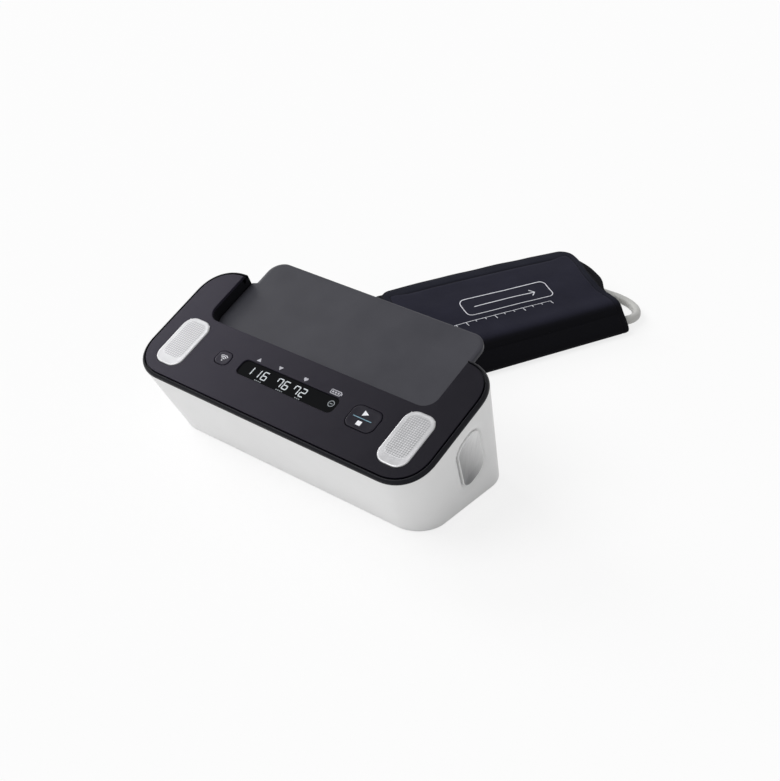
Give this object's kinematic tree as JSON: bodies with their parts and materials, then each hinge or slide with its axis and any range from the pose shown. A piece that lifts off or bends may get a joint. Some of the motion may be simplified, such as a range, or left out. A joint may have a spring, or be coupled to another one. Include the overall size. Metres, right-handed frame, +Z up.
{
  "type": "upper-arm blood pressure monitor",
  "caption": "Desktop blood pressure monitor: tapered white case, sloping dark deck with buttons, display window, electrodes and handset dock, and a rolled arm cuff on an air hose.",
  "frame": {"origin": "on the table, under the middle of the monitor's base outline", "axes": "+Z up, +X to the right of someone who reads the display, +Y to the rear"},
  "size_m": [0.2105, 0.3204, 0.0815],
  "materials": {
    "white_case": "fine satin moulding",
    "dark_band": "satin moulding",
    "dark_panel": "fine satin",
    "tray_grey": "satin",
    "window": "clear gloss over black",
    "display_grey": "plain",
    "button_dark": "satin",
    "black_plastic": "plain moulding",
    "electrode": "brushed",
    "contact_brass": "plain",
    "board_green": "varnished board",
    "steel": "plain",
    "soft_tube": "soft clear tube",
    "cell_sleeve": "shrink sleeve",
    "foot_rubber": "soft rubber",
    "plug_grey": "plain moulding",
    "hose_grey": "smooth soft tube",
    "cuff_fabric": "fine brushed knit",
    "bladder_rubber": "soft sheet",
    "hook_fabric": "hook tape"
  },
  "bodies": {
    "monitor": {"lower_case": "white_case", "upper_case": "dark_band", "face_panel": "dark_panel", "dock_tray": "tray_grey", "display_lens": "window", "display_module": "display_grey", "start_stop_switch": "black_plastic", "pairing_switch": "black_plastic", "electrode_top_left": "electrode", "electrode_top_right": "electrode", "electrode_side_left": "electrode", "electrode_side_right": "electrode", "electrode_contacts": "contact_brass", "main_board": "board_green", "board_screws": "steel", "pressure_sensor": "black_plastic", "pump_motor": "steel", "pump_head": "black_plastic", "bleed_valve": "steel", "air_manifold": "tray_grey", "inner_air_tubes": "soft_tube", "air_jack": "steel", "dc_jack": "black_plastic", "battery_cells": "cell_sleeve", "battery_contacts": "steel", "rubber_feet": "foot_rubber", "case_screws": "steel", "air_plug": "plug_grey", "hose_cuff_side": "hose_grey", "hose_coil": "hose_grey", "hose_plug_side": "hose_grey", "hose_tie": "foot_rubber", "cuff_wrap": "cuff_fabric", "cuff_bladder": "bladder_rubber", "cuff_hose_socket": "black_plastic", "hook_patch": "hook_fabric", "cuff_ring": "steel"},
    "start_stop": {"start_stop_button": "button_dark"},
    "pairing": {"pairing_button": "button_dark"},
    "cover": {"battery_cover": "white_case"}
  },
  "joints": [
    {"name": "start_stop_press", "type": "slide", "parent": "monitor", "child": "start_stop", "axis": [0, 0.3859, -0.9225], "range_m": [0, 0.0008], "stiffness_N_per_m": 600, "springref_m": -0.0004},
    {"name": "pairing_press", "type": "slide", "parent": "monitor", "child": "pairing", "axis": [0, 0.3859, -0.9225], "range_m": [0, 0.0008], "stiffness_N_per_m": 600, "springref_m": -0.0004},
    {"name": "battery_cover_slide", "type": "slide", "parent": "monitor", "child": "cover", "axis": [0, -1, 0], "range_m": [0, 0.007]}
  ]
}
